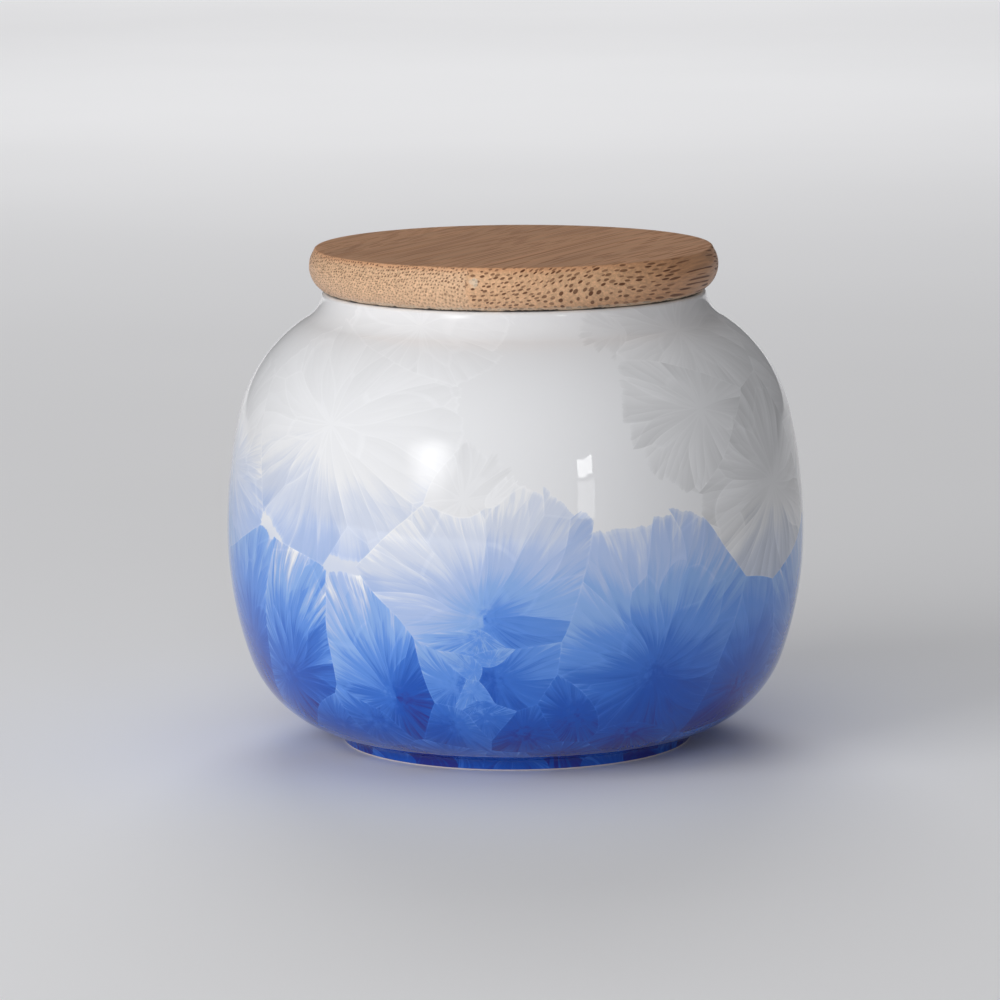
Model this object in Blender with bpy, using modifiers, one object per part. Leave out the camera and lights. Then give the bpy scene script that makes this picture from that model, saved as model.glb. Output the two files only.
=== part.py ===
"""A small porcelain keepsake urn with a turned bamboo lid.

Metres, +Z up. The origin is the middle of the foot's underside, and the
urn's axis is Z.
"""

from math import acos, cos, radians, sin, sqrt

import bpy

MM = 0.001
QUARTER_TURN = radians(90.0)
HALF_TURN = radians(180.0)

# Jar, outside: five arcs that meet tangentially, widest at the belly. The
# side and the lower wall lean in from upright by the angle where they end.
BELLY_RADIUS = 50.0 * MM
BELLY_HEIGHT = 36.7 * MM
SIDE_ARC = 93.4 * MM
SIDE_LEAN = radians(12.7)
SHOULDER_ARC = 26.1 * MM
SHOULDER_LEAN = radians(58.2)
NECK_COVE = 6.1 * MM
LOWER_ARC = 65.3 * MM
LOWER_LEAN = radians(18.9)
HIP_ARC = 20.3 * MM

# Jar, wall, rim and foot ring.
WALL = 3.6 * MM
RIM_HEIGHT = 78.3 * MM
RIM_ROUND = 1.3 * MM
FOOT_RADIUS = 30.2 * MM
FOOT_WIDTH = 3.8 * MM
FOOT_CHAMFER = 0.4 * MM
FOOT_COVE = 1.8 * MM

# Lid: a disc with a bowed edge, and a plug turned below it in one piece.
SEAT_GAP = 0.3 * MM
LID_RADIUS = 35.3 * MM
LID_THICKNESS = 7.5 * MM
LID_BELOW_WIDEST = 4.3 * MM
LID_EDGE_ARC = 4.6 * MM
LID_TOP_ROUND = 0.5 * MM
PLUG_CLEARANCE = 0.7 * MM
PLUG_DEPTH = 7.0 * MM
PLUG_CHAMFER = 0.8 * MM

# Facets, round the axis and along each arc: hip, lower wall, side, shoulder, cove.
TURN_STEPS = 64
OUTER_FACETS = (7, 3, 3, 6, 4)
INNER_FACETS = (5, 2, 2, 4, 2)
RIM_FACETS = 2
FOOT_COVE_FACETS = 3
LID_EDGE_FACETS = 8

PORCELAIN = (0.86, 0.88, 0.92, 1.0)
PORCELAIN_ROUGHNESS = 0.08
BAMBOO = (0.52, 0.34, 0.20, 1.0)
BAMBOO_ROUGHNESS = 0.45


def arc(centre, radius, start, end, facets):
    """Points on an arc, from angle start to angle end, both ends included."""
    angles = [start + (end - start) * i / facets for i in range(facets + 1)]
    return [(centre[0] + radius * cos(a), centre[1] + radius * sin(a)) for a in angles]


def hip_centre():
    """Centre of the arc that turns the wall under to the foot."""
    reach = LOWER_ARC - HIP_ARC
    lower_x = BELLY_RADIUS - LOWER_ARC
    return lower_x + reach * cos(LOWER_LEAN), BELLY_HEIGHT - reach * sin(LOWER_LEAN)


def wall_line(inset, hip_start, facets):
    """The jar's wall from the angle hip_start on the hip up to the rim, set in by inset.

    Each arc keeps its centre, so a line set inwards runs parallel to the outside.
    """
    side = (BELLY_RADIUS - SIDE_ARC, BELLY_HEIGHT)
    reach = SIDE_ARC - SHOULDER_ARC
    shoulder = (side[0] + reach * cos(SIDE_LEAN), side[1] + reach * sin(SIDE_LEAN))
    reach = SHOULDER_ARC + NECK_COVE
    cove = (shoulder[0] + reach * cos(SHOULDER_LEAN), shoulder[1] + reach * sin(SHOULDER_LEAN))
    lower = (BELLY_RADIUS - LOWER_ARC, BELLY_HEIGHT)
    neck_lean = (cove[1] - (RIM_HEIGHT - RIM_ROUND)) / (NECK_COVE + inset)
    line = arc(hip_centre(), HIP_ARC - inset, hip_start, -LOWER_LEAN, facets[0])
    line += arc(lower, LOWER_ARC - inset, -LOWER_LEAN, 0.0, facets[1])[1:]
    line += arc(side, SIDE_ARC - inset, 0.0, SIDE_LEAN, facets[2])[1:]
    line += arc(shoulder, SHOULDER_ARC - inset, SIDE_LEAN, SHOULDER_LEAN, facets[3])[1:]
    cove_angles = (HALF_TURN + SHOULDER_LEAN, HALF_TURN + neck_lean)
    line += arc(cove, NECK_COVE + inset, *cove_angles, facets[4])[1:]
    return line


def jar_profile():
    """Half section of the jar: inner floor, inner wall, rim, outer wall, foot, recess."""
    hip_x, hip_z = hip_centre()
    cove_x = FOOT_RADIUS + FOOT_COVE
    cove_turn = acos((cove_x - hip_x) / (HIP_ARC + FOOT_COVE))
    cove_z = hip_z - (HIP_ARC + FOOT_COVE) * sin(cove_turn)
    inner = wall_line(WALL, -QUARTER_TURN, INNER_FACETS)
    outer = wall_line(0.0, -cove_turn, OUTER_FACETS)
    mouth, neck = inner[-1][0], outer[-1][0]
    rim_low = RIM_HEIGHT - RIM_ROUND
    rim = arc((mouth + RIM_ROUND, rim_low), RIM_ROUND, HALF_TURN, QUARTER_TURN, RIM_FACETS)
    rim += arc((neck - RIM_ROUND, rim_low), RIM_ROUND, QUARTER_TURN, 0.0, RIM_FACETS)
    foot_cove = arc((cove_x, cove_z), FOOT_COVE, HALF_TURN - cove_turn, HALF_TURN, FOOT_COVE_FACETS)
    foot_inner = FOOT_RADIUS - FOOT_WIDTH
    recess = hip_z - HIP_ARC
    foot = [
        (FOOT_RADIUS, FOOT_CHAMFER),
        (FOOT_RADIUS - FOOT_CHAMFER, 0.0),
        (foot_inner + FOOT_CHAMFER, 0.0),
        (foot_inner, FOOT_CHAMFER),
        (foot_inner, recess),
    ]
    floor = [(0.0, inner[0][1])]
    return floor + inner[:-1] + rim + outer[-2::-1] + foot_cove[1:] + foot + [(0.0, recess)]


def lid_profile():
    """Half section of the lid: flat top, bowed edge, flat underside and plug."""
    underside = RIM_HEIGHT + SEAT_GAP
    top = underside + LID_THICKNESS
    bow_centre = LID_RADIUS - LID_EDGE_ARC
    widest = underside + LID_BELOW_WIDEST
    edge_top = top - LID_TOP_ROUND
    step = (edge_top - underside) / LID_EDGE_FACETS
    heights = [edge_top - step * i for i in range(LID_EDGE_FACETS + 1)]
    edge = [(bow_centre + sqrt(LID_EDGE_ARC**2 - (z - widest) ** 2), z) for z in heights]
    mouth = wall_line(WALL, -QUARTER_TURN, INNER_FACETS)[-1][0]
    plug_radius = mouth - PLUG_CLEARANCE
    plug_end = underside - PLUG_DEPTH
    plug = [
        (plug_radius, underside),
        (plug_radius, plug_end + PLUG_CHAMFER),
        (plug_radius - PLUG_CHAMFER, plug_end),
        (0.0, plug_end),
    ]
    return [(0.0, top), (edge[0][0] - LID_TOP_ROUND, top)] + edge + plug


def finish(name, colour, roughness):
    """A plain material of one colour."""
    made = bpy.data.materials.new(name)
    made.use_nodes = True
    shader = made.node_tree.nodes["Principled BSDF"]
    shader.inputs["Base Color"].default_value = colour
    shader.inputs["Roughness"].default_value = roughness
    shader.inputs["Metallic"].default_value = 0.0
    made.diffuse_color = colour
    return made


def turned(name, profile, material, collection):
    """A solid of revolution about Z, from a half section that starts and ends on the axis."""
    mesh = bpy.data.meshes.new(name)
    points = [(r, 0.0, z) for r, z in profile]
    mesh.from_pydata(points, [(i, i + 1) for i in range(len(points) - 1)], [])
    mesh.materials.append(material)
    made = bpy.data.objects.new(name, mesh)
    collection.objects.link(made)
    screw = made.modifiers.new("Turn", "SCREW")
    screw.axis = "Z"
    screw.angle = 2 * HALF_TURN
    screw.steps = TURN_STEPS
    screw.render_steps = TURN_STEPS
    screw.use_smooth_shade = True
    screw.use_merge_vertices = True
    screw.merge_threshold = 0.01 * MM
    return made


def clear_scene():
    for thing in list(bpy.data.objects):
        bpy.data.objects.remove(thing)


def main():
    clear_scene()
    urn = bpy.data.collections.new("Keepsake urn")
    bpy.context.scene.collection.children.link(urn)
    porcelain = finish("Glazed porcelain", PORCELAIN, PORCELAIN_ROUGHNESS)
    bamboo = finish("Bamboo", BAMBOO, BAMBOO_ROUGHNESS)
    turned("jar", jar_profile(), porcelain, urn)
    turned("lid", lid_profile(), bamboo, urn)


main()
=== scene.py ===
"""The looks of a small keepsake urn: porcelain under a crystalline glaze, and a bamboo lid.

Each piece has its own operator, listed in a panel in the 3D view's sidebar. Run as a
script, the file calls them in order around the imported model, whose box fixes the outer sizes.
"""

from collections import namedtuple
from math import acos, atan, cos, degrees, pi, radians, sin, sqrt

import bmesh
import bpy
from bpy.props import FloatProperty, FloatVectorProperty, IntProperty, PointerProperty
from mathutils import Matrix, Vector, noise


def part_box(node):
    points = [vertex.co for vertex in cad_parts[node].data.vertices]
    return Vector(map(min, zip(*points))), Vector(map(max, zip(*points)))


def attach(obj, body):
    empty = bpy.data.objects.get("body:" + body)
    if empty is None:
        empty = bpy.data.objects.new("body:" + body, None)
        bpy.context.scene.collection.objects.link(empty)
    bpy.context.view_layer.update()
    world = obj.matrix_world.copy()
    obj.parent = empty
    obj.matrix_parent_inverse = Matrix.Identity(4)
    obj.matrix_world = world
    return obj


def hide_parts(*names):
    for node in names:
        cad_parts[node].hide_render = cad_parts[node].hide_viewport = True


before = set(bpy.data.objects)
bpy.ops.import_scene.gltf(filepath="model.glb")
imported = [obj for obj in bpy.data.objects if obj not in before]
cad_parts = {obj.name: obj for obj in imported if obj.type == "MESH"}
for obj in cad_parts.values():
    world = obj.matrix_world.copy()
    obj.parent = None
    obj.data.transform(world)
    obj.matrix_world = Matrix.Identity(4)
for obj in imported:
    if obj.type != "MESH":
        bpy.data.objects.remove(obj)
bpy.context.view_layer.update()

bl_info = {
    "name": "Keepsake urn",
    "version": (1, 0, 0),
    "blender": (4, 5, 0),
    "location": "View3D > Sidebar > Urn",
    "description": "Builds a crystalline-glazed porcelain urn with a bamboo lid",
    "category": "Object",
}

MM = 0.001
TO_MM = 1000.0
QUARTER_TURN = radians(90.0)
HALF_TURN = radians(180.0)
GOLDEN_TURN = radians(137.508)
JAR_HIGH = Vector(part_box("jar")[1])
LID_LOW, LID_HIGH = (Vector(corner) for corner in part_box("lid"))


# ----------------------------------------
# Settings


def length(name, description, default):
    """A setting in metres."""
    return FloatProperty(
        name=name, description=description, default=default, unit="LENGTH", subtype="DISTANCE", precision=4
    )


def angle(name, description, default):
    """A setting in radians."""
    return FloatProperty(
        name=name, description=description, default=default, unit="ROTATION", subtype="ANGLE"
    )


def colour(name, description, default):
    """A linear colour setting."""
    return FloatVectorProperty(
        name=name, description=description, default=default, subtype="COLOR", size=3, min=0.0, max=1.0
    )


def amount(name, description, default):
    """A setting without a unit, from 0."""
    return FloatProperty(name=name, description=description, default=default, min=0.0, subtype="FACTOR")


class JarShape(bpy.types.PropertyGroup):
    """The jar's section: five arcs that meet tangentially, a wall, a rim and a foot ring"""

    belly_height: length("Belly height", "Height of the widest place", 36.7 * MM)
    side_arc: length("Side arc", "Radius of the wall above the belly", 93.4 * MM)
    side_lean: angle("Side lean", "How far the side leans in where the shoulder starts", radians(12.7))
    shoulder_arc: length("Shoulder arc", "Radius of the shoulder", 26.1 * MM)
    shoulder_lean: angle("Shoulder lean", "How far the shoulder leans in at the neck", radians(58.2))
    neck_cove: length("Neck cove", "Radius of the hollow under the rim", 6.1 * MM)
    lower_arc: length("Lower arc", "Radius of the wall below the belly", 65.3 * MM)
    lower_lean: angle("Lower lean", "How far the lower wall leans in where the hip starts", radians(18.9))
    hip_arc: length("Hip arc", "Radius of the turn under to the foot", 20.3 * MM)
    wall: length("Wall", "Thickness of the fired wall", 3.6 * MM)
    rim_round: length("Rim round", "Radius of the rim's edges", 0.7 * MM)
    rim_rise: length("Rim rise", "Thickness of the glaze on the rim, under the lid", 0.2 * MM)
    foot_radius: length("Foot radius", "Outer radius of the foot ring", 30.2 * MM)
    foot_width: length("Foot width", "Width of the foot ring", 3.8 * MM)
    foot_round: length("Foot round", "Radius of the foot ring's edges", 0.2 * MM)
    foot_cove: length("Foot cove", "Radius of the hollow where the glaze pools above the foot", 1.8 * MM)
    bare_edge: length("Bare edge", "Height of the unglazed edge of the foot ring", 0.22 * MM)
    glaze: length("Glaze", "Thickness of the glaze where it ends above the bare edge", 0.12 * MM)
    turn_steps: IntProperty(name="Turn steps", description="Facets round the axis", default=288, min=16)


class GlazeLook(bpy.types.PropertyGroup):
    """The colours of the glaze, from the neck down to the foot, and of the bare porcelain"""

    white: colour("White", "Glaze on the neck and shoulder", (0.82, 0.825, 0.84))
    haze: colour("Haze", "Where the blue begins", (0.62, 0.67, 0.79))
    pale: colour("Pale blue", "Tips of the fans", (0.40, 0.51, 0.77))
    sky: colour("Sky blue", "Upper half of the fans", (0.24, 0.41, 0.77))
    blue: colour("Blue", "Middle of the fans", (0.105, 0.27, 0.73))
    deep: colour("Deep blue", "Lower half of the fans", (0.035, 0.155, 0.60))
    cobalt: colour("Cobalt", "Feet of the fans", (0.010, 0.088, 0.47))
    ink: colour("Ink", "Glaze pooled above the foot", (0.020, 0.030, 0.27))
    bare: colour("Bare porcelain", "Unglazed foot ring", (0.78, 0.70, 0.70))
    lining: colour("Lining", "Plain glaze inside", (0.70, 0.71, 0.73))
    gloss: amount("Roughness", "Roughness of the glaze", 0.025)
    growth: length("Growth", "How far a crystal grows before the kiln cools", 23.2 * MM)


class LidShape(bpy.types.PropertyGroup):
    """The lid's section: a disc with a bowed edge over a locating plug"""

    below_widest: length("Below widest", "Height of the widest place above the underside", 4.3 * MM)
    edge_arc: length("Edge arc", "Radius of the bowed edge", 4.6 * MM)
    top_round: length("Top round", "Radius of the edge of the top", 0.5 * MM)
    plug_clearance: length("Plug clearance", "Gap between the plug and the mouth", 0.7 * MM)
    plug_chamfer: length("Plug chamfer", "Bevel on the end of the plug", 0.8 * MM)
    thickness: length("Thickness", "Thickness of the disc", 7.5 * MM)
    tear: length("Tear", "How far the lower edge is torn by the cutter", 0.22 * MM)
    turn_steps: IntProperty(name="Turn steps", description="Facets round the axis", default=480, min=16)


class BambooLook(bpy.types.PropertyGroup):
    """The bamboo: two strips of cane glued side by side, with their fibres end-on in front"""

    grain_turn: angle("Grain turn", "Direction of the fibres, from +X", radians(65.0))
    joint_across: length("Glue joint", "Where the two strips meet, across the grain", -7.3 * MM)
    fine_flesh: colour("Fine flesh", "End-on cane of the left strip", (0.70, 0.45, 0.275))
    coarse_flesh: colour("Coarse flesh", "End-on cane of the right strip", (0.66, 0.395, 0.225))
    side: colour("Side grain", "Cane along the fibres", (0.48, 0.245, 0.122))
    fibre: colour("Fibre", "Dark bundles of fibres", (0.105, 0.033, 0.009))
    scorch: colour("Scorch", "Where the cutter polished the top edge", (0.62, 0.28, 0.13))
    scar: colour("Scar", "Pale pith beside the glue joint, and the frayed lower edge", (0.74, 0.62, 0.47))
    edge_dashes: colour("Edge dashes", "Dashes on the torn lower edge", (0.030, 0.014, 0.007))
    roughness: amount("Roughness", "Roughness of the oiled cane", 0.42)


class StageLook(bpy.types.PropertyGroup):
    """A pale floor, soft studio lights and the camera"""

    floor: colour("Floor", "Colour of the floor", (0.86, 0.86, 0.87))
    surround: colour("Surround", "Light from the room", (0.15, 0.15, 0.155))
    camera_distance: length("Camera distance", "From the urn's axis, level", 0.9)
    camera_height: length("Camera height", "Above the floor", 184.2 * MM)
    camera_dip: angle("Camera dip", "How far the camera looks down", radians(9.0))
    camera_roll: angle("Camera roll", "How far the camera is tipped sideways", radians(-0.4))
    lens: FloatProperty(name="Lens", description="Focal length in millimetres", default=188.8, min=1.0)
    sideways: FloatProperty(name="Sideways", description="Shift of the frame, in widths", default=-0.0153)


# ----------------------------------------
# Shapes

# Facets in a whole turn of the wall's arcs, inside and out, and in each small round.
LINING_FACETS = 96
GLAZE_FACETS = 400
RIM_FACETS = 8
COVE_FACETS = 10
CORNER_FACETS = 5
LID_EDGE_FACETS = 28

# The recess's corner, as steps inwards and down from where its wall and its ceiling would meet.
RECESS_CORNER = ((0.0, 0.5 * MM), (0.15 * MM, 0.12 * MM), (0.6 * MM, 0.0))

# Rings across the lid's flat top, as shares of its radius.
TOP_RINGS = (0.0, 0.3, 0.6, 0.85)


def arc(centre, radius, start, end, facets):
    """Points on an arc, from angle start to angle end, both ends included."""
    angles = [start + (end - start) * i / facets for i in range(facets + 1)]
    return [(centre[0] + radius * cos(a), centre[1] + radius * sin(a)) for a in angles]


class Wall:
    """The jar's wall as arcs in the (radius, height) plane, each with its centre."""

    def __init__(self, shape):
        self.shape = shape
        self.belly = JAR_HIGH.x
        self.rim = JAR_HIGH.z + shape.rim_rise
        self.side = (self.belly - shape.side_arc, shape.belly_height)
        self.shoulder = self.beyond(self.side, shape.side_arc - shape.shoulder_arc, shape.side_lean)
        self.cove = self.beyond(self.shoulder, shape.shoulder_arc + shape.neck_cove, shape.shoulder_lean)
        self.lower = (self.belly - shape.lower_arc, shape.belly_height)
        self.hip = self.beyond(self.lower, shape.lower_arc - shape.hip_arc, -shape.lower_lean)

    @staticmethod
    def beyond(centre, reach, lean):
        """The point at a reach from a centre, along a lean from the level."""
        return (centre[0] + reach * cos(lean), centre[1] + reach * sin(lean))

    def line(self, inset, foot_angle, facets_per_turn):
        """Points from foot_angle on the hip up to the rim's edge, set in by inset."""
        shape = self.shape
        neck_lean = (self.cove[1] - (self.rim - shape.rim_round)) / (shape.neck_cove + inset)

        def stretch(centre, radius, start, end):
            facets = max(2, round(facets_per_turn * abs(end - start) / (2 * pi)))
            return arc(centre, radius, start, end, facets)

        line = stretch(self.hip, shape.hip_arc - inset, foot_angle, -shape.lower_lean)
        line += stretch(self.lower, shape.lower_arc - inset, -shape.lower_lean, 0.0)[1:]
        line += stretch(self.side, shape.side_arc - inset, 0.0, shape.side_lean)[1:]
        line += stretch(self.shoulder, shape.shoulder_arc - inset, shape.side_lean, shape.shoulder_lean)[1:]
        cove_start, cove_end = HALF_TURN + shape.shoulder_lean, HALF_TURN + neck_lean
        line += stretch(self.cove, shape.neck_cove + inset, cove_start, cove_end)[1:]
        return line

    def radius_at(self, height):
        """Outer radius at a height between the foot and the neck."""
        shape = self.shape
        shoulder_rise = shape.shoulder_arc * sin(shape.shoulder_lean)
        bands = (
            (self.hip, shape.hip_arc, self.hip[1] - shape.hip_arc * sin(shape.lower_lean)),
            (self.lower, shape.lower_arc, shape.belly_height),
            (self.side, shape.side_arc, self.side[1] + shape.side_arc * sin(shape.side_lean)),
            (self.shoulder, shape.shoulder_arc, self.shoulder[1] + shoulder_rise),
        )
        for centre, radius, top in bands:
            if height <= top:
                return centre[0] + sqrt(max(0.0, radius**2 - (height - centre[1]) ** 2))
        return self.cove[0] - sqrt(shape.neck_cove**2 - (height - self.cove[1]) ** 2)

    def place(self, turn, height):
        """The point on the outside at a turn from the front (-Y), anticlockwise from above."""
        radius = self.radius_at(height)
        return Vector((radius * sin(turn), -radius * cos(turn), height))


def revolve(name, profile, steps, zones):
    """A mesh turned about Z from a profile of (radius, height, zone), axis to axis.

    zones names the materials, and each band of faces takes the zone of its first point.
    """
    mesh = bpy.data.meshes.new(name)
    body = bmesh.new()
    rings = []
    for radius, height, zone in profile:
        if radius < 1e-7:
            rings.append([body.verts.new((0.0, 0.0, height))])
            continue
        turns = [2 * pi * i / steps for i in range(steps)]
        rings.append([body.verts.new((radius * cos(a), radius * sin(a), height)) for a in turns])
    for (upper, lower), (_, _, zone) in zip(zip(rings, rings[1:]), profile):
        for i in range(steps):
            j = (i + 1) % steps
            left = [upper[i % len(upper)], lower[i % len(lower)]]
            right = [lower[j % len(lower)], upper[j % len(upper)]]
            face = body.faces.new(list(dict.fromkeys(left + right)))
            face.smooth = True
            face.material_index = zones.index(zone)
    body.normal_update()
    body.to_mesh(mesh)
    body.free()
    return mesh


def jar_profile(shape):
    """The jar's section, from the middle of its floor, over the rim and down to the recess."""
    wall = Wall(shape)
    foot_radius = shape.foot_radius + shape.glaze
    cove_x = foot_radius + shape.foot_cove
    reach = shape.hip_arc + shape.foot_cove
    cove_turn = acos((cove_x - wall.hip[0]) / reach)
    cove_centre = (cove_x, wall.hip[1] - reach * sin(cove_turn))
    inner = [(r, z, "lining") for r, z in wall.line(shape.wall, -QUARTER_TURN, LINING_FACETS)]
    outer = [(r, z, "glaze") for r, z in wall.line(0.0, -cove_turn, GLAZE_FACETS)]
    mouth, neck = inner[-1][0], outer[-1][0]
    rim_low = wall.rim - shape.rim_round
    rim = arc((mouth + shape.rim_round, rim_low), shape.rim_round, HALF_TURN, QUARTER_TURN, RIM_FACETS)
    rim += arc((neck - shape.rim_round, rim_low), shape.rim_round, QUARTER_TURN, 0.0, RIM_FACETS)
    cove = arc(cove_centre, shape.foot_cove, HALF_TURN - cove_turn, HALF_TURN, COVE_FACETS)
    recess = wall.hip[1] - shape.hip_arc
    return (
        [(0.0, inner[0][1], "lining")]
        + inner[:-1]
        + [(r, z, "glaze") for r, z in rim]
        + outer[:-1][::-1]
        + [(r, z, "glaze") for r, z in cove[1:]]
        + foot_ring(shape, foot_radius, recess)
    )


def foot_ring(shape, glaze_radius, recess):
    """The glaze's rolled end, the bare ring that the jar stands on, and the glazed recess."""
    outer = shape.foot_radius
    inner = shape.foot_radius - shape.foot_width
    roll = shape.glaze
    corner = shape.foot_round
    edge = shape.bare_edge
    points = [(glaze_radius, edge + 2 * roll, "glaze")]
    for turn in (0.0, -0.5, -1.0):
        points.append((outer + roll * cos(turn), edge + roll + roll * sin(turn), "glaze"))
    points.append((outer, edge + 0.2 * roll, "bare"))
    outer_corner = arc((outer - corner, corner), corner, 0.0, -QUARTER_TURN, CORNER_FACETS)
    inner_corner = arc((inner + corner, corner), corner, -QUARTER_TURN, -HALF_TURN, CORNER_FACETS)
    points += [(r, z, "bare") for r, z in outer_corner + inner_corner]
    points += [(inner - inwards, recess - down, "lining") for inwards, down in RECESS_CORNER]
    return points + [(0.0, recess, "lining")]


def lid_profile(shape, mouth):
    """The lid's section: flat top, bowed edge, flat underside and the plug."""
    underside = LID_HIGH.z - shape.thickness
    widest = underside + shape.below_widest
    bow = LID_HIGH.x - shape.edge_arc
    top_edge = LID_HIGH.z - shape.top_round
    start = atan((top_edge - widest) / sqrt(shape.edge_arc**2 - (top_edge - widest) ** 2))
    end = -atan(shape.below_widest / sqrt(shape.edge_arc**2 - shape.below_widest**2))
    edge = arc((bow, widest), shape.edge_arc, start, end, LID_EDGE_FACETS)
    corner_radius = edge[0][0] - shape.top_round
    corner = arc((corner_radius, top_edge), shape.top_round, QUARTER_TURN, start * 0.5, CORNER_FACETS)
    plug_radius = mouth - shape.plug_clearance
    plug_end = LID_LOW.z
    bevel_top = plug_end + shape.plug_chamfer
    bevel_radius = plug_radius - shape.plug_chamfer
    root = 0.3 * MM
    softened = 0.2 * MM
    plug = [
        (edge[-1][0] - 0.5 * MM, underside),
        (plug_radius + root, underside),
        (plug_radius, underside - root),
        (plug_radius, bevel_top + softened),
        (plug_radius - softened, bevel_top),
        (bevel_radius, plug_end + softened),
        (bevel_radius - softened, plug_end),
        (0.0, plug_end),
    ]
    rings = [share * corner_radius for share in TOP_RINGS] + [corner_radius - 1.5 * MM]
    top = [(r, LID_HIGH.z) for r in rings]
    return [(r, z, "bamboo") for r, z in top + corner + edge[1:] + plug]


def tear_lower_edge(mesh, shape):
    """Roughs up the lid's lower edge, where the cutter tore the ends of the fibres."""
    underside = LID_HIGH.z - shape.thickness
    band_height = 1.4 * MM
    inner_radius = 31.0 * MM
    chip_size = 0.8 * MM
    aside = Vector((7.0, 3.0, 1.0))
    for vertex in mesh.vertices:
        rise = (vertex.co.z - underside) / band_height
        radius = vertex.co.xy.length
        if not 0.0 <= rise < 1.0 or radius < inner_radius:
            continue
        seed = Vector((vertex.co.x, vertex.co.y, 4.0 * vertex.co.z)) / chip_size
        bite = noise.noise(seed) + 0.6 * noise.noise(2.7 * seed)
        fade = (1.0 - rise) ** 2
        vertex.co.xy *= 1.0 + fade * shape.tear * bite / radius
        vertex.co.z += 0.6 * fade * shape.tear * noise.noise(seed + aside)


# ----------------------------------------
# Materials


class Nodes:
    """A node tree being wired, with one short call for each kind of node."""

    def __init__(self, tree):
        self.tree = tree

    def add(self, kind, **settings):
        """A new node with its settings."""
        node = self.tree.nodes.new(kind)
        for name, value in settings.items():
            setattr(node, name, value)
        return node

    def feed(self, socket, value):
        """Links a socket to another, or sets its value; a colour gets an alpha of 1."""
        if isinstance(value, bpy.types.NodeSocket):
            self.tree.links.new(value, socket)
        elif isinstance(value, (int, float)):
            socket.default_value = value
        else:
            parts = tuple(value)
            socket.default_value = parts + (1.0,) * (len(socket.default_value) - len(parts))

    def math(self, operation, *values, clamp=False):
        """One operation on numbers."""
        node = self.add("ShaderNodeMath", operation=operation, use_clamp=clamp)
        for socket, value in zip(node.inputs, values):
            self.feed(socket, value)
        return node.outputs[0]

    def total(self, first, *others):
        """The sum of any number of values."""
        for value in others:
            first = self.math("ADD", first, value)
        return first

    def times(self, first, *others):
        """The product of any number of values."""
        for value in others:
            first = self.math("MULTIPLY", first, value)
        return first

    def either_way(self, value, swing):
        """From 0 to 1 in, from -swing to +swing out."""
        return self.math("MULTIPLY_ADD", value, 2.0 * swing, -swing)

    def vector(self, operation, *values):
        """One operation on vectors, which gives a number where that is what it measures."""
        node = self.add("ShaderNodeVectorMath", operation=operation)
        if operation == "SCALE":
            self.feed(node.inputs["Vector"], values[0])
            self.feed(node.inputs["Scale"], values[1])
        else:
            for socket, value in zip(node.inputs, values):
                self.feed(socket, value)
        measures = operation in ("DISTANCE", "LENGTH", "DOT_PRODUCT")
        return node.outputs["Value" if measures else "Vector"]

    def mix(self, kind, factor, a, b):
        """From a to b as the factor goes from 0 to 1; kind is FLOAT, VECTOR or RGBA."""
        node = self.add("ShaderNodeMix", data_type=kind, clamp_factor=True)
        sockets = {"FLOAT": (0, 2, 3, 0), "VECTOR": (0, 4, 5, 1), "RGBA": (0, 6, 7, 2)}[kind]
        self.feed(node.inputs[sockets[0]], factor)
        self.feed(node.inputs[sockets[1]], a)
        self.feed(node.inputs[sockets[2]], b)
        return node.outputs[sockets[3]]

    def ease(self, value, low, high, out_low=0.0, out_high=1.0):
        """A smooth step from out_low at low to out_high at high; low may be the greater one."""
        node = self.add("ShaderNodeMapRange", interpolation_type="SMOOTHSTEP", clamp=True)
        for socket, given in zip(node.inputs, (value, low, high, out_low, out_high)):
            self.feed(socket, given)
        return node.outputs[0]

    def split(self, vector):
        """A vector's x, y and z."""
        node = self.add("ShaderNodeSeparateXYZ")
        self.feed(node.inputs[0], vector)
        return node.outputs

    def join(self, x, y, z):
        """A vector from x, y and z."""
        node = self.add("ShaderNodeCombineXYZ")
        for socket, value in zip(node.inputs, (x, y, z)):
            self.feed(socket, value)
        return node.outputs[0]

    def noise(self, vector, scale=1.0, detail=2.0, roughness=0.5):
        """Smooth noise from 0 to 1."""
        node = self.add("ShaderNodeTexNoise")
        self.feed(node.inputs["Vector"], vector)
        self.feed(node.inputs["Scale"], scale)
        self.feed(node.inputs["Detail"], detail)
        self.feed(node.inputs["Roughness"], roughness)
        return node.outputs["Fac"]

    def voronoi(self, vector, randomness=1.0, feature="F1", dimensions="3D"):
        """Cells about one unit wide: all of the node's outputs."""
        node = self.add("ShaderNodeTexVoronoi", feature=feature, voronoi_dimensions=dimensions)
        self.feed(node.inputs["Vector"], vector)
        self.feed(node.inputs["Scale"], 1.0)
        self.feed(node.inputs["Randomness"], randomness)
        return node.outputs

    def chance(self, vector):
        """Three random numbers from 0 to 1 for each place, as a colour."""
        node = self.add("ShaderNodeTexWhiteNoise", noise_dimensions="3D")
        self.feed(node.inputs["Vector"], vector)
        return node.outputs["Color"]

    def ramp(self, value, stops):
        """A colour for each value, eased between stops of (position, colour)."""
        node = self.add("ShaderNodeValToRGB")
        node.color_ramp.interpolation = "EASE"
        elements = node.color_ramp.elements
        while len(elements) < len(stops):
            elements.new(1.0)
        for element, (position, shade) in zip(elements, stops):
            element.position = position
            element.color = (*shade, 1.0)
        self.feed(node.inputs[0], value)
        return node.outputs[0]

    def place_mm(self):
        """Object coordinates in millimetres."""
        return self.vector("SCALE", self.add("ShaderNodeTexCoord").outputs["Object"], TO_MM)


def new_material(name):
    """An empty material: its nodes, and its Principled shader."""
    made = bpy.data.materials.new(name)
    made.use_nodes = True
    return made, Nodes(made.node_tree), made.node_tree.nodes["Principled BSDF"]


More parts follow.
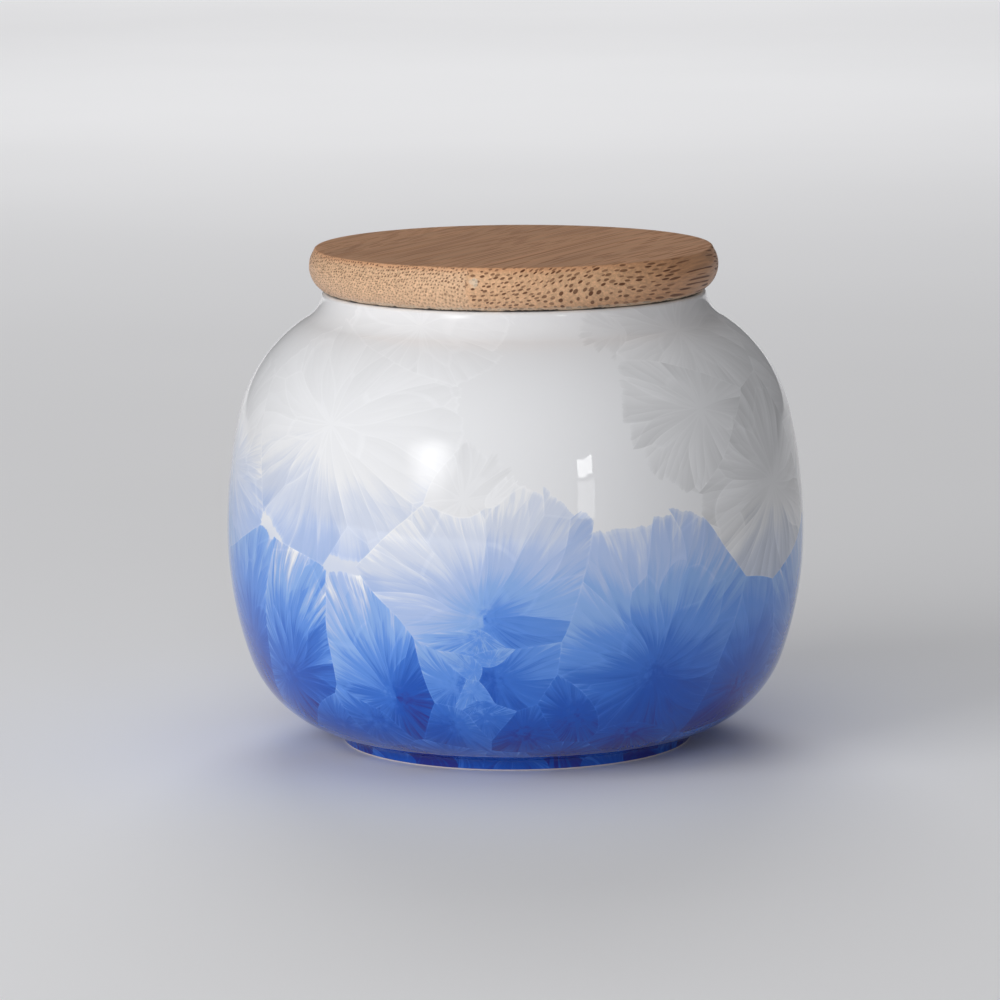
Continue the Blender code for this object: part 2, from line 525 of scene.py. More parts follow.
def coat(nodes, shader, shade, roughness, height, depth):
    """The shader's colour and roughness, and dents from a height of 0 to 1 over a depth in metres."""
    nodes.feed(shader.inputs["Base Color"], shade)
    nodes.feed(shader.inputs["Roughness"], roughness)
    node = nodes.add("ShaderNodeBump")
    node.inputs["Distance"].default_value = depth
    node.inputs["Strength"].default_value = 1.0
    nodes.feed(node.inputs["Height"], height)
    nodes.feed(shader.inputs["Normal"], node.outputs[0])


# A crystal: its turn from the front in degrees, its height in millimetres, its head start in
# millimetres of growth, how much paler it is, how much paler still to its left as painted sheen
# on the side towards the lamps (a negative value paints that side darker), how strong the white
# streaks at its rim are, and how much painted shade darkens it where it faces away from the light.
Crystal = namedtuple("Crystal", "turn height start paler left streaks grey", defaults=(0.0,) * 5)

FRONT_CRYSTALS = (
    Crystal(-40.0, 60.0, 0.0, paler=4.0, left=-3.0, streaks=0.1),
    Crystal(42.0, 63.0, -8.0, paler=10.0, grey=0.10),
    Crystal(62.0, 48.0, -3.0, paler=16.0, grey=0.14),
    Crystal(50.0, 74.0, -6.0, paler=8.0, grey=0.07),
    Crystal(30.0, 74.5, -16.5, paler=8.0, grey=0.09),
    Crystal(-28.0, 76.0, -7.0, paler=8.0),
    Crystal(-10.5, 49.5, -14.5, paler=14.0, grey=0.04),
    Crystal(-5.0, 48.8, -17.5, paler=11.0, streaks=0.3),
    Crystal(-6.5, 29.5, 0.0, paler=6.5, left=5.5, streaks=0.25),
    Crystal(-4.5, 20.0, -0.5, paler=2.5, left=-2.0, streaks=0.3),
    Crystal(-12.0, 18.0, -1.5, paler=10.0, left=2.0, streaks=0.5),
    Crystal(-7.2, 26.6, -1.0, paler=9.0, streaks=1.0),
    Crystal(-8.8, 24.0, -3.4, paler=10.0, streaks=1.0),
    Crystal(-5.6, 22.6, -1.6, paler=11.0, streaks=1.0),
    Crystal(-8.6, 20.6, -1.6, paler=13.0, streaks=1.0),
    Crystal(-9.2, 17.2, -1.4, paler=14.0, streaks=1.0),
    Crystal(-8.0, 14.5, -3.0, paler=12.0, streaks=1.0),
    Crystal(-6.5, 12.4, -3.0, paler=12.0, streaks=1.0),
    Crystal(-26.0, 15.0, 0.0, paler=4.0, left=7.0, streaks=0.8),
    Crystal(-55.0, 16.5, 0.0, paler=1.5, left=2.0, streaks=1.0),
    Crystal(-69.0, 20.0, 0.0, paler=-5.0, streaks=0.5),
    Crystal(-80.0, 50.0, -4.0, paler=1.0, streaks=0.2),
    Crystal(28.0, 18.5, 4.0, paler=1.5, left=2.0, streaks=0.3),
    Crystal(-14.0, 10.5, -2.0, paler=11.0, left=-3.0, streaks=0.6),
    Crystal(-33.0, 10.0, -3.0, paler=10.0, streaks=0.6),
    Crystal(13.0, 12.0, -3.0, paler=4.0, streaks=0.5),
    Crystal(2.0, 9.0, -3.0, paler=5.0, streaks=0.5),
    Crystal(-44.0, 7.5, -3.0, paler=10.0, streaks=0.6),
    Crystal(27.0, 8.0, -3.0, paler=4.5, streaks=0.5),
    Crystal(55.0, 14.0, -1.0, paler=-1.0),
)

# Rings over the sides and back: height and head start in millimetres, how much paler, and how much painted
# shade darkens them.
BACK_RINGS = (
    (17.0, 1.0, 0.0, 0.0),
    (61.0, -2.0, 9.0, 0.05),
    (24.0, -2.0, 1.0, 0.0),
    (42.0, -8.0, 8.0, 0.03),
)
BACK_COUNT = 16
BACK_START = radians(82.0)
BACK_SWEEP = radians(198.0)
FOOT_COUNT = 24


def back_crystals():
    """Crystals over the sides and back: rings of them, each a golden turn from the last."""
    seeds = []
    for i in range(BACK_COUNT):
        turn = degrees(BACK_START + (i * GOLDEN_TURN) % BACK_SWEEP)
        height, start, paler, grey = BACK_RINGS[i % len(BACK_RINGS)]
        height += 4.0 * sin(2.3 * i)
        start += 2.0 * cos(1.7 * i)
        paler += 2.0 * sin(3.1 * i)
        # Each back crystal also gets painted sheen to its left, and its ring's painted shade.
        seeds.append(Crystal(turn, height, start, paler, left=3.0 * sin(5.0 * i), streaks=0.6, grey=grey))
    return seeds


def foot_crystals():
    """Small crystals in the glaze that pooled on the foot ring."""
    seeds = []
    for i in range(FOOT_COUNT):
        turn = 360.0 / FOOT_COUNT * i + 5.0 * sin(4.0 * i)
        height = 2.6 + 1.2 * sin(2.0 * i)
        seeds.append(Crystal(turn, height, -3.5, paler=11.0 + 4.0 * cos(3.0 * i), streaks=1.0))
    return seeds


# What is handed from crystal to crystal, and what it starts from. A time is in millimetres of
# growth, and no crystal takes as long as NEVER.
NEVER = 1000.0
GROWTH_STATE = {
    "First Seed": ("NodeSocketVector", (0.0, 0.0, 0.0)),
    "First Time": ("NodeSocketFloat", NEVER),
    "Second Time": ("NodeSocketFloat", NEVER),
    "First Look": ("NodeSocketVector", (0.0, 0.0, 0.0)),
    "First Painted Shade": ("NodeSocketFloat", 0.0),
}


def growth_step():
    """Node group: one crystal grows to a point, and keeps it if it gets there first."""
    group = bpy.data.node_groups.new("Crystal growth", "ShaderNodeTree")
    own = {"Point": "Vector", "Seed": "Vector", "Delay": "Float", "Look": "Vector", "Grey": "Float"}
    for name, kind in own.items():
        group.interface.new_socket(name=name, in_out="INPUT", socket_type="NodeSocket" + kind)
    for name, (kind, _) in GROWTH_STATE.items():
        group.interface.new_socket(name=name, in_out="INPUT", socket_type=kind)
        group.interface.new_socket(name=name, in_out="OUTPUT", socket_type=kind)
    nodes = Nodes(group)
    given = nodes.add("NodeGroupInput").outputs
    result = nodes.add("NodeGroupOutput").inputs
    time = nodes.total(nodes.vector("DISTANCE", given["Point"], given["Seed"]), given["Delay"])
    sooner = nodes.math("LESS_THAN", time, given["First Time"])
    later = nodes.math("MAXIMUM", time, given["First Time"])
    nodes.feed(result["First Seed"], nodes.mix("VECTOR", sooner, given["First Seed"], given["Seed"]))
    nodes.feed(result["First Time"], nodes.math("MINIMUM", time, given["First Time"]))
    nodes.feed(result["Second Time"], nodes.math("MINIMUM", later, given["Second Time"]))
    nodes.feed(result["First Look"], nodes.mix("VECTOR", sooner, given["First Look"], given["Look"]))
    nodes.feed(result["First Painted Shade"], nodes.mix("FLOAT", sooner, given["First Painted Shade"], given["Grey"]))
    return group


def grow_crystals(nodes, point, wall):
    """Runs every crystal's growth in turn: whose crystal a point is in, and the two soonest times."""
    step = growth_step()
    state = {name: start for name, (_, start) in GROWTH_STATE.items()}
    for crystal in (*FRONT_CRYSTALS, *back_crystals(), *foot_crystals()):
        node = nodes.add("ShaderNodeGroup", node_tree=step)
        seed = wall.place(radians(crystal.turn), crystal.height * MM) * TO_MM
        look = (crystal.paler, crystal.left, crystal.streaks)
        given = {"Point": point, "Seed": seed, "Delay": -crystal.start, "Look": look, "Grey": crystal.grey}
        for name, value in (given | state).items():
            nodes.feed(node.inputs[name], value)
        state = {name: node.outputs[name] for name in state}
    return state


def local_directions(nodes, point, seed, wall):
    """A point as seen from its crystal's seed: (unit sideways, unit upwards), and its distance."""
    seed_x, seed_y, seed_z = nodes.split(seed)
    outward = nodes.vector("NORMALIZE", nodes.join(seed_x, seed_y, 0.0))
    out_x, out_y, _ = nodes.split(outward)
    sideways = nodes.join(nodes.times(out_y, -1.0), out_x, 0.0)
    rise = nodes.math("SUBTRACT", seed_z, wall.shape.belly_height * TO_MM)
    normal = nodes.vector("NORMALIZE", nodes.join(seed_x, seed_y, rise))
    upwards = nodes.vector("CROSS_PRODUCT", normal, sideways)
    reach = nodes.vector("SUBTRACT", point, seed)
    aside = nodes.vector("DOT_PRODUCT", reach, sideways)
    above = nodes.vector("DOT_PRODUCT", reach, upwards)
    flat = nodes.join(aside, above, 0.0)
    return nodes.vector("NORMALIZE", flat), nodes.vector("LENGTH", reach)


def pleats(nodes, direction, distance, shuffle, count, length):
    """Folds that fan out from a seed: (painted shade from light on one side to dark on the other, own tone,
    edge).

    count sets how narrow they are, and length how many millimetres they run before they split.
    The painted shade and the tones lie between -0.5 and 0.5, and the edge runs from 0 to about 0.3 inside
    each of the folds.
    """
    dir_x, dir_y, _ = nodes.split(direction)
    run = nodes.math("DIVIDE", distance, length)
    place = nodes.join(nodes.times(dir_x, count), nodes.times(dir_y, count), run)
    place = nodes.vector("ADD", place, shuffle)
    cell = nodes.voronoi(place)
    middle = nodes.vector("SUBTRACT", cell["Position"], shuffle)
    middle_x, middle_y, _ = nodes.split(middle)
    turn = nodes.times(dir_x, middle_y)
    turn = nodes.math("SUBTRACT", turn, nodes.times(dir_y, middle_x))
    shade_slope = nodes.math("MAXIMUM", nodes.math("MINIMUM", turn, 0.5), -0.5)
    tone = nodes.math("SUBTRACT", nodes.split(cell["Color"])[0], 0.5)
    edge = nodes.voronoi(place, feature="DISTANCE_TO_EDGE")["Distance"]
    return shade_slope, tone, edge


class CrystalMarks:
    """What the crystals leave at each point of the glaze: folds with painted shade across them, needles,
    seams and edges.
    """

    def __init__(self, nodes, point, wall, limit):
        """limit is how many millimetres a crystal grows before the kiln cools."""
        # The melt wandered while the crystals grew, so their borders are a little wavy.
        drift = nodes.add("ShaderNodeTexNoise")
        nodes.feed(drift.inputs["Vector"], point)
        nodes.feed(drift.inputs["Scale"], 0.055)
        nodes.feed(drift.inputs["Detail"], 1.0)
        wave = nodes.vector("SUBTRACT", drift.outputs["Color"], (0.5, 0.5, 0.5))
        grown = nodes.vector("ADD", point, nodes.vector("SCALE", wave, 4.0))
        state = grow_crystals(nodes, grown, wall)
        # Its crystal's look: how much paler, painted sheen to its left, white streaks, and painted shade.
        self.paler, self.left, self.streaks = nodes.split(state["First Look"])
        self.grey = state["First Painted Shade"]
        direction, self.distance = local_directions(nodes, grown, state["First Seed"], wall)
        self.draw_folds(nodes, direction, state["First Seed"])
        self.draw_edges(nodes, limit, state["First Time"], state["Second Time"])

    def draw_folds(self, nodes, direction, seed):
        """Painted shade across folds in two widths, and needles in two finenesses, all running out from the
        seed.
        """
        # The seed is snapped to half a millimetre, so that all of its crystal is shuffled alike.
        seed_colour = nodes.chance(nodes.vector("SNAP", seed, (0.5, 0.5, 0.5)))
        shuffle = nodes.vector("SCALE", seed_colour, 40.0)
        self.dir_x, dir_y, _ = nodes.split(direction)
        self.fold, self.petal, self.vein = pleats(nodes, direction, self.distance, shuffle, 2.6, 15.0)
        self.crease, self.rib, _ = pleats(nodes, direction, self.distance, shuffle, 7.0, 9.0)
        ray = nodes.join(self.dir_x, dir_y, nodes.times(self.distance, 0.06))
        thick = nodes.vector("ADD", nodes.vector("MULTIPLY", ray, (14.0, 14.0, 1.5)), shuffle)
        thin = nodes.vector("ADD", nodes.vector("MULTIPLY", ray, (44.0, 44.0, 2.5)), shuffle)
        self.needle = nodes.noise(thick, detail=3.0, roughness=0.6)
        self.hair = nodes.noise(thin, detail=2.0)
        self.spread = nodes.ease(self.distance, 1.5, 12.0)
        begun = nodes.ease(self.distance, 0.5, 7.0)
        self.drawn = nodes.times(begun, nodes.math("MULTIPLY_ADD", self.streaks, 0.65, 0.35))

    def draw_edges(self, nodes, limit, first, second):
        """A crystal ends where the next one starts, or in bare glaze at a scalloped edge."""
        wavy = nodes.total(first, nodes.either_way(self.needle, 0.9))
        ripe = nodes.total(wavy, nodes.times(self.petal, 1.6), nodes.times(self.fold, 1.4))
        lead = nodes.math("SUBTRACT", second, first)
        self.inside = nodes.ease(ripe, limit + 0.1, limit - 0.25)
        late = nodes.ease(first, limit - 14.0, limit - 0.5)
        self.fringe = nodes.total(late, nodes.times(nodes.ease(lead, 5.0, 0.0), 0.4))
        self.seam = nodes.ease(lead, 0.45, 0.0)
        self.rim = nodes.ease(ripe, limit - 0.9, limit - 0.2)
        self.line = nodes.ease(nodes.times(self.vein, self.distance), 0.45, 0.12)


def glaze_level(nodes, marks, point, height):
    """The height that a point's colour is taken from: each mark moves it by some millimetres."""
    total, times, either_way = nodes.total, nodes.times, nodes.either_way
    cloud = nodes.noise(point, scale=0.10, detail=2.0)
    crumple = nodes.noise(point, scale=0.75, detail=3.0, roughness=0.6)
    core = nodes.ease(marks.distance, 5.0, 0.5)
    depth = times(nodes.ease(marks.distance, 17.0, 1.0), nodes.ease(height, 52.0, 34.0))
    white = nodes.ease(total(marks.needle, times(marks.hair, 0.25)), 0.60, 0.86)
    # Painted shade across the folds: each is paler on one side and deeper on the other.
    wide = (times(marks.fold, 5.0), times(marks.petal, 4.5))
    narrow = (times(marks.crease, 4.0), times(marks.rib, 1.5))
    shift = total(
        marks.paler,
        # Painted sheen: paler on the left of each crystal, towards the lamps.
        times(marks.left, marks.dir_x, -1.0),
        times(total(*wide, *narrow), marks.drawn),
        times(total(either_way(marks.needle, 4.5), either_way(marks.hair, 4.0)), marks.drawn),
        times(either_way(crumple, 10.0), core),
        times(depth, -6.0),
        times(white, marks.fringe, marks.streaks, 15.0),
        times(marks.seam, 2.0),
        times(total(times(marks.line, marks.drawn), marks.rim), 1.6),
    )
    outside = nodes.math("SUBTRACT", 1.0, marks.inside)
    return total(height, either_way(cloud, 4.0), times(shift, marks.inside), times(outside, 14.0))


def painted_glaze_sheen(nodes, marks):
    """How light a point is painted: on the white, crystals only get a little painted shade and a painted
    silky sheen across their folds, with paler lines at their edges.
    """
    total, times = nodes.total, nodes.times
    # Painted shade also makes the painted sheen stronger.
    contrast = times(marks.spread, total(0.35, times(marks.grey, 6.0)))
    sheen_and_shade = total(
        times(marks.fold, contrast, 0.10),
        times(marks.petal, contrast, 0.12),
        times(marks.crease, contrast, 0.07),
        times(nodes.either_way(marks.needle, 0.05), contrast),
        times(total(marks.line, marks.rim, marks.seam), 0.03),
        # Painted shade on the crystals that face away from the light.
        times(marks.grey, -1.0),
        0.012,
    )
    return total(1.0, times(sheen_and_shade, marks.inside))


# The ramp of colours: how many millimetres it spans, its first stop and the step to each next.
RAMP_SPAN = 80.0
RAMP_FIRST = 0.03
RAMP_STEP = 0.1
GLAZE_IOR = 1.5
ORANGE_PEEL = 0.02 * MM
LINING_ROUGHNESS = 0.12
LINING_RIPPLE = 0.05 * MM
BARE_ROUGHNESS = 0.75
BARE_TOOTH = 0.03 * MM
CANE_PITS = 0.06 * MM
FLOOR_ROUGHNESS = 0.8


def crystal_glaze(shape, look):
    """White glaze that runs to cobalt, grown over with fans of needle crystals."""
    made, nodes, shader = new_material("Crystalline glaze")
    point = nodes.place_mm()
    height = nodes.split(point)[2]
    marks = CrystalMarks(nodes, point, Wall(shape), look.growth * TO_MM)
    level = glaze_level(nodes, marks, point, height)
    share = nodes.math("DIVIDE", level, RAMP_SPAN, clamp=True)
    shades = (look.ink, look.cobalt, look.deep, look.blue, look.sky, look.pale, look.haze, look.white)
    tint = nodes.ramp(share, [(RAMP_FIRST + RAMP_STEP * i, shade) for i, shade in enumerate(shades)])
    # The tint is multiplied by the painted sheen and painted shade.
    shade = nodes.vector("SCALE", tint, painted_glaze_sheen(nodes, marks))
    shader.inputs["IOR"].default_value = GLAZE_IOR
    coat(nodes, shader, shade, look.gloss, nodes.noise(point, scale=0.35, detail=1.0), ORANGE_PEEL)
    return made


def lining_glaze(look):
    """Plain white glaze for the inside and the recess under the foot, with pinkish specks."""
    made, nodes, shader = new_material("Lining glaze")
    point = nodes.place_mm()
    speck = nodes.ease(nodes.noise(point, scale=1.6, detail=2.0), 0.70, 0.78)
    cloud = nodes.noise(point, scale=0.08)
    clean = nodes.vector("SCALE", look.lining, nodes.math("MULTIPLY_ADD", cloud, 0.10, 0.95))
    shade = nodes.mix("RGBA", nodes.times(speck, 0.35), clean, look.bare)
    ripple = nodes.noise(point, scale=0.4, detail=1.0)
    coat(nodes, shader, shade, LINING_ROUGHNESS, ripple, LINING_RIPPLE)
    return made


def bare_porcelain(look):
    """Fired porcelain with no glaze: matt, faintly pink, with a fine tooth."""
    made, nodes, shader = new_material("Bare porcelain")
    point = nodes.place_mm()
    tooth = nodes.noise(point, scale=5.0, detail=4.0, roughness=0.7)
    shade = nodes.math("MULTIPLY_ADD", tooth, 0.24, 0.88)
    shade = nodes.vector("SCALE", look.bare, shade)
    coat(nodes, shader, shade, BARE_ROUGHNESS, tooth, BARE_TOOTH)
    return made


# How far apart the bundles of fibres are, across and up, in millimetres.
FINE_FIBRES = (0.56, 0.54)
COARSE_FIBRES = (1.12, 0.74)


def fibre_ends(nodes, across, up, wide, tall):
    """Where bundles of fibres end: dots in slanting rows, wide by tall millimetres apart."""
    row = nodes.math("DIVIDE", up, tall)
    place = nodes.total(nodes.math("DIVIDE", across, wide), nodes.times(row, 0.45))
    cells = nodes.voronoi(nodes.join(place, row, 0.0), randomness=0.62, dimensions="2D")
    luck, depth, _ = nodes.split(cells["Color"])
    size = nodes.mix("FLOAT", luck, 0.13, 0.28)
    dot = nodes.ease(cells["Distance"], nodes.total(size, 0.09), size)
    return nodes.times(dot, nodes.math("MULTIPLY_ADD", depth, 0.4, 0.6))


class Cane:
    """The cane at each point of the lid: where it is along the fibres, and how it is cut."""

    def __init__(self, nodes, look):
        self.point = nodes.place_mm()
        self.joint = look.joint_across * TO_MM
        turned = nodes.add("ShaderNodeVectorRotate", rotation_type="Z_AXIS")
        nodes.feed(turned.inputs["Vector"], self.point)
        turned.inputs["Angle"].default_value = -look.grain_turn
        place = turned.outputs[0]
        self.along, self.across, self.up = nodes.split(place)

        # The fibres wander a little as they run, so lines on top start and fade.
        slow = nodes.vector("MULTIPLY", place, (0.016, 0.08, 0.08))
        drift = nodes.noise(slow, detail=0.0)
        up_run = nodes.total(self.up, nodes.either_way(drift, 3.0))
        across_run = nodes.total(self.across, nodes.either_way(drift, 1.0))
        fine = fibre_ends(nodes, across_run, up_run, *FINE_FIBRES)
        thick = fibre_ends(nodes, across_run, up_run, *COARSE_FIBRES)
        ragged = nodes.either_way(nodes.noise(self.point, scale=0.7, detail=2.0), 1.0)
        side = nodes.total(self.across, ragged)
        self.coarse = nodes.ease(side, self.joint + 0.3, self.joint - 0.3)
        self.dot = nodes.mix("FLOAT", self.coarse, fine, thick)
        drawn_out = nodes.vector("MULTIPLY", place, (0.02, 2.6, 2.6))
        self.streak = nodes.noise(drawn_out, detail=4.0, roughness=0.62)
        self.cloud = nodes.noise(slow, scale=0.7)

        normal = nodes.add("ShaderNodeNewGeometry").outputs["Normal"]
        self.upturned = nodes.ease(nodes.split(normal)[2], 0.55, 0.9)
        grain_way = (cos(look.grain_turn), sin(look.grain_turn), 0.0)
        facing = nodes.math("ABSOLUTE", nodes.vector("DOT_PRODUCT", normal, grain_way))
        self.end_on = nodes.ease(facing, 0.15, 0.75)


def cane_colour(nodes, cane, look):
    """End grain or side grain, streaked, polished brown at the top edge, with dark fibres in it."""
    top = LID_HIGH.z * TO_MM
    flesh = nodes.mix("RGBA", cane.coarse, look.fine_flesh, look.coarse_flesh)
    base = nodes.mix("RGBA", cane.end_on, look.side, flesh)
    streaked = nodes.math("MULTIPLY_ADD", nodes.ease(cane.streak, 0.3, 0.7), 0.40, 0.81)
    base = nodes.vector("SCALE", base, nodes.total(streaked, nodes.either_way(cane.cloud, 0.15)))
    high = nodes.ease(cane.up, top - 1.2, top - 0.1)
    polished = nodes.times(high, nodes.times(cane.end_on, 0.55))
    base = nodes.mix("RGBA", polished, base, look.scorch)
    grit = nodes.noise(cane.point, scale=2.6, detail=3.0, roughness=0.65)
    grit = nodes.mix("FLOAT", cane.end_on, 1.0, nodes.math("MULTIPLY_ADD", grit, 0.36, 0.82))
    base = nodes.vector("SCALE", base, grit)
    fine_share = nodes.ease(cane.up, top - 7.0, top - 1.0, 0.45, 0.88)
    edge_share = nodes.mix("FLOAT", cane.coarse, fine_share, 0.95)
    dot_share = nodes.mix("FLOAT", cane.upturned, edge_share, 0.4)
    return nodes.mix("RGBA", nodes.times(cane.dot, dot_share), base, look.fibre)


def add_pith(nodes, cane, shade, look):
    """The pale blotch of pith beside the glue joint, in front."""
    aside = nodes.math("DIVIDE", nodes.math("SUBTRACT", cane.across, cane.joint - 1.3), 0.9)
    above = nodes.math("SUBTRACT", cane.up, LID_HIGH.z * TO_MM - 2.4)
    away = nodes.vector("LENGTH", nodes.join(aside, above, 0.0))
    away = nodes.total(away, nodes.either_way(nodes.noise(cane.point, scale=1.5), 1.0))
    in_front = nodes.ease(cane.along, 0.0, -1.0)
    pith = nodes.times(nodes.ease(away, 1.1, 0.3), nodes.times(in_front, 0.7))
    return nodes.mix("RGBA", pith, shade, look.scar)


def add_torn_edge(nodes, cane, shade, look, underside):
    """The lower edge, frayed pale, with dark dashes along its lowest part."""
    torn = nodes.noise(cane.point, scale=0.9, detail=3.0, roughness=0.7)
    reach = nodes.math("SUBTRACT", cane.up, nodes.either_way(torn, 0.6))
    frayed = nodes.times(nodes.ease(reach, underside + 0.85, underside + 0.25), 0.6)
    shade = nodes.mix("RGBA", frayed, shade, look.scar)
    # Near-black dashes along the lowest part of the edge, just above the underside.
    low = nodes.ease(reach, underside + 0.26, underside + 0.12)
    dashes = nodes.ease(nodes.noise(cane.point, scale=0.30, detail=4.0), 0.47, 0.55)
    return nodes.mix("RGBA", nodes.times(low, dashes), shade, look.edge_dashes)


def bamboo(shape, look):
    """Cane with its fibres lying one way: dots where they end, lines where they lie along."""
    made, nodes, shader = new_material("Bamboo")
    cane = Cane(nodes, look)
    shade = cane_colour(nodes, cane, look)
    shade = add_pith(nodes, cane, shade, look)
    shade = add_torn_edge(nodes, cane, shade, look, (LID_HIGH.z - shape.thickness) * TO_MM)
    roughness = nodes.math("MULTIPLY_ADD", cane.dot, 0.15, look.roughness)
    pits = nodes.math("SUBTRACT", nodes.times(cane.streak, 0.4), cane.dot)
    coat(nodes, shader, shade, roughness, pits, CANE_PITS)
    return made


def floor_paint(look):
    """Matt, pale and very slightly clouded."""
    made, nodes, shader = new_material("Pale floor")
    cloud = nodes.noise(nodes.place_mm(), scale=0.004)
    shade = nodes.math("MULTIPLY_ADD", cloud, 0.06, 0.97)
    nodes.feed(shader.inputs["Base Color"], nodes.vector("SCALE", look.floor, shade))
    shader.inputs["Roughness"].default_value = FLOOR_ROUGHNESS
    shader.inputs["Specular IOR Level"].default_value = 0.0
    return made


# ----------------------------------------
# Operators


def piece(context, name, mesh, materials):
    """Links a mesh as an object with its materials."""
    made = bpy.data.objects.new(name, mesh)
    for material in materials:
        mesh.materials.append(material)
    context.scene.collection.objects.link(made)
    return made


class URN_OT_jar(bpy.types.Operator):
    """Builds the porcelain jar with its crystalline glaze"""

    bl_idname = "urn.jar"
    bl_label = "Build the jar"

    def execute(self, context):
        shape, look = context.scene.urn_jar, context.scene.urn_glaze
        zones = ("glaze", "lining", "bare")
        mesh = revolve("glazed_jar", jar_profile(shape), shape.turn_steps, zones)
        materials = (crystal_glaze(shape, look), lining_glaze(look), bare_porcelain(look))
        jar = piece(context, "glazed_jar", mesh, materials)
        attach(jar, "root")
        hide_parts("jar")
        return {"FINISHED"}


class URN_OT_lid(bpy.types.Operator):
    """Builds the bamboo lid with its plug"""

    bl_idname = "urn.lid"
    bl_label = "Build the lid"

    def execute(self, context):
        jar_shape, shape = context.scene.urn_jar, context.scene.urn_lid
        mouth = Wall(jar_shape).line(jar_shape.wall, -QUARTER_TURN, LINING_FACETS)[-1][0]
        mesh = revolve("bamboo_lid", lid_profile(shape, mouth), shape.turn_steps, ("bamboo",))
        tear_lower_edge(mesh, shape)
        lid = piece(context, "bamboo_lid", mesh, (bamboo(shape, context.scene.urn_bamboo),))
        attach(lid, "root")
        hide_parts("lid")
        return {"FINISHED"}


# How far the floor reaches each way, in metres, and the middle of the jar, where lights aim.
FLOOR_REACH = 3.0
MIDDLE = (0.0, 0.0, 0.5 * JAR_HIGH.z)

# Broad lights that the glaze doesn't mirror: name, place, aim and width in metres, power in watts.
WASHES = (
    ("Left wash", (-0.95, -0.75, 0.55), MIDDLE, 0.8, 7.2),
    ("Front wash", (-0.20, -1.3, 0.5), MIDDLE, 0.8, 4.6),
    ("Top wash", (0.0, -0.1, 1.1), MIDDLE, 0.8, 1.1),
    ("Back wash", (-0.1, 1.4, 1.0), MIDDLE, 0.8, 6.0),
    ("Far wash", (0.0, 2.9, 1.5), (0.0, 2.9, 0.0), 1.5, 30.0),
)

# Small lights that it does mirror: name, place, width and height in metres, power in watts.
PANES = (
    ("Pane", (0.43, -0.82, 0.252), (0.09, 0.065), 0.13),
    ("Lower pane", (0.437, -0.84, 0.143), (0.11, 0.13), 0.09),
)
SOFTBOX_PLACE = (-0.53, -0.78, 0.29)
SOFTBOX_WIDTH = 0.44
SOFTBOX_POWER = 2.5


def area_light(context, name, place, aim, size, power):
    """A white rectangular light at a place, turned to face its aim."""
    data = bpy.data.lights.new(name, "AREA")
    data.shape = "RECTANGLE"
    data.size, data.size_y = size
    data.energy = power
    light = bpy.data.objects.new(name, data)
    light.location = place
    light.rotation_euler = (Vector(aim) - Vector(place)).to_track_quat("-Z", "Y").to_euler()
    context.scene.collection.objects.link(light)
    return light


def softbox(context):
    """A round light that fades towards its edge, as a cloth diffuser does."""
    size = (SOFTBOX_WIDTH, SOFTBOX_WIDTH)
    light = area_light(context, "Softbox", SOFTBOX_PLACE, MIDDLE, size, SOFTBOX_POWER)
    light.data.shape = "DISK"
    light.data.use_nodes = True
    nodes = Nodes(light.data.node_tree)
    emission = light.data.node_tree.nodes["Emission"]
    away = nodes.vector("DISTANCE", nodes.add("ShaderNodeTexCoord").outputs["UV"], (0.5, 0.5, 0.0))
    nodes.feed(emission.inputs["Strength"], nodes.ease(away, 0.5, 0.0))


def lay_floor(context, look):
    """The floor, a flat square under the urn. The floor, staged so that it isn't taken
    for a piece of the urn.
    """
    mesh = bpy.data.meshes.new("floor")
    slab = bmesh.new()
    bmesh.ops.create_grid(slab, x_segments=1, y_segments=1, size=FLOOR_REACH)
    slab.to_mesh(mesh)
    slab.free()
    floor = piece(context, "floor", mesh, (floor_paint(look),))


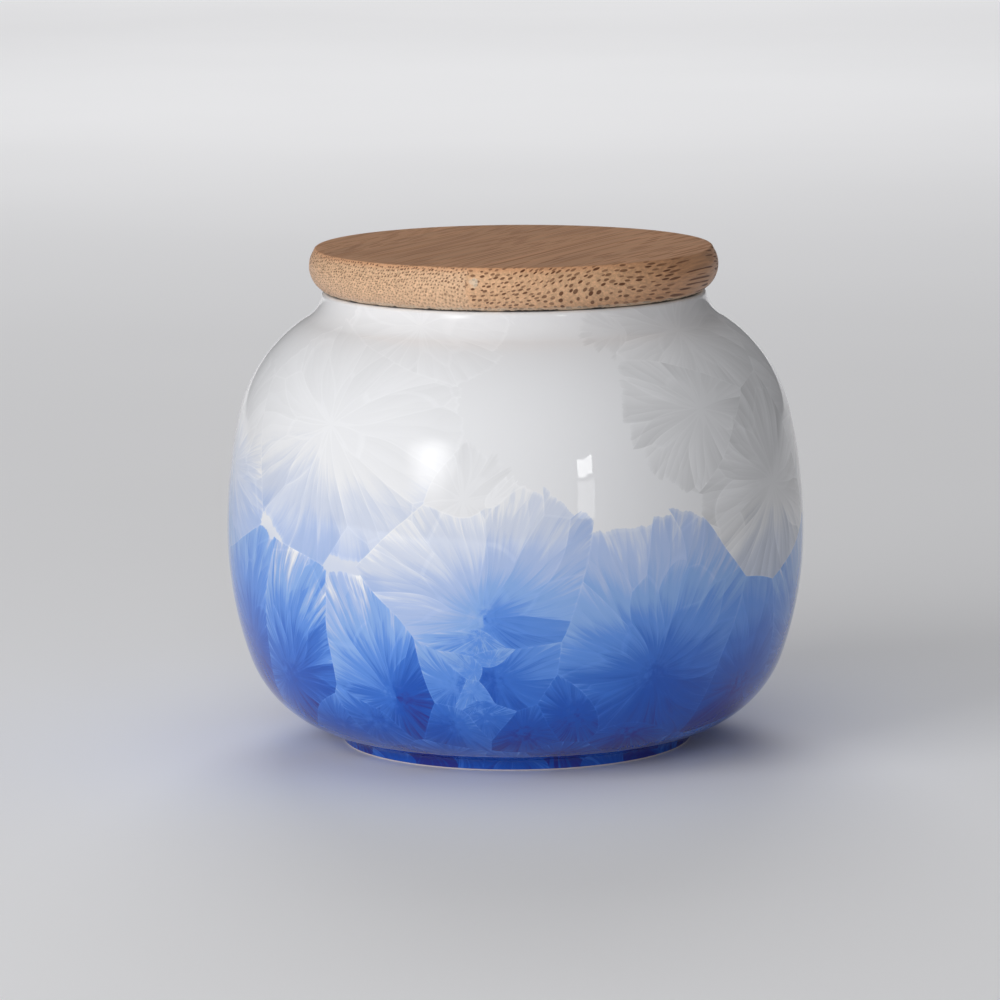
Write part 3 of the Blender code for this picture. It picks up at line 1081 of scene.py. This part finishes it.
def light_room(context, look):
    """The room's own light, the washes, and what the glaze mirrors."""
    world = bpy.data.worlds.new("Room")
    world.use_nodes = True
    world.node_tree.nodes["Background"].inputs["Color"].default_value = (*look.surround, 1.0)
    context.scene.world = world
    for name, place, aim, width, power in WASHES:
        wash = area_light(context, name, place, aim, (width, width), power)
        wash.visible_glossy = False
    for name, place, size, power in PANES:
        area_light(context, name, place, MIDDLE, size, power)
    softbox(context)


def set_camera(context, look):
    """The camera, in front of the urn and above it."""
    data = bpy.data.cameras.new("Camera")
    data.lens = look.lens
    data.shift_x = look.sideways
    camera = bpy.data.objects.new("Camera", data)
    dip = Matrix.Rotation(QUARTER_TURN - look.camera_dip, 4, "X")
    roll = Matrix.Rotation(look.camera_roll, 4, "Z")
    place = Matrix.Translation((0.0, -look.camera_distance, look.camera_height))
    camera.matrix_world = place @ (dip @ roll)
    context.scene.collection.objects.link(camera)
    context.scene.camera = camera


class URN_OT_stage(bpy.types.Operator):
    """Sets out the pale floor, the soft lights and the camera"""

    bl_idname = "urn.stage"
    bl_label = "Set the stage"

    def execute(self, context):
        look = context.scene.urn_stage
        lay_floor(context, look)
        light_room(context, look)
        set_camera(context, look)
        context.scene.view_settings.view_transform = "Standard"
        return {"FINISHED"}


OPERATORS = (URN_OT_jar, URN_OT_lid, URN_OT_stage)


class URN_PT_panel(bpy.types.Panel):
    """Lists the urn's pieces"""

    bl_label = "Keepsake urn"
    bl_space_type = "VIEW_3D"
    bl_region_type = "UI"
    bl_category = "Urn"

    def draw(self, context):
        for operator in OPERATORS:
            self.layout.operator(operator.bl_idname)


SETTINGS = {
    "urn_jar": JarShape,
    "urn_glaze": GlazeLook,
    "urn_lid": LidShape,
    "urn_bamboo": BambooLook,
    "urn_stage": StageLook,
}
CLASSES = (*SETTINGS.values(), *OPERATORS, URN_PT_panel)


def register():
    for part in CLASSES:
        bpy.utils.register_class(part)
    for name, group in SETTINGS.items():
        setattr(bpy.types.Scene, name, PointerProperty(type=group))


def unregister():
    for name in SETTINGS:
        delattr(bpy.types.Scene, name)
    for part in reversed(CLASSES):
        bpy.utils.unregister_class(part)


def main():
    register()
    bpy.ops.urn.jar()
    bpy.ops.urn.lid()
    bpy.ops.urn.stage()


if __name__ == "__main__":
    main()
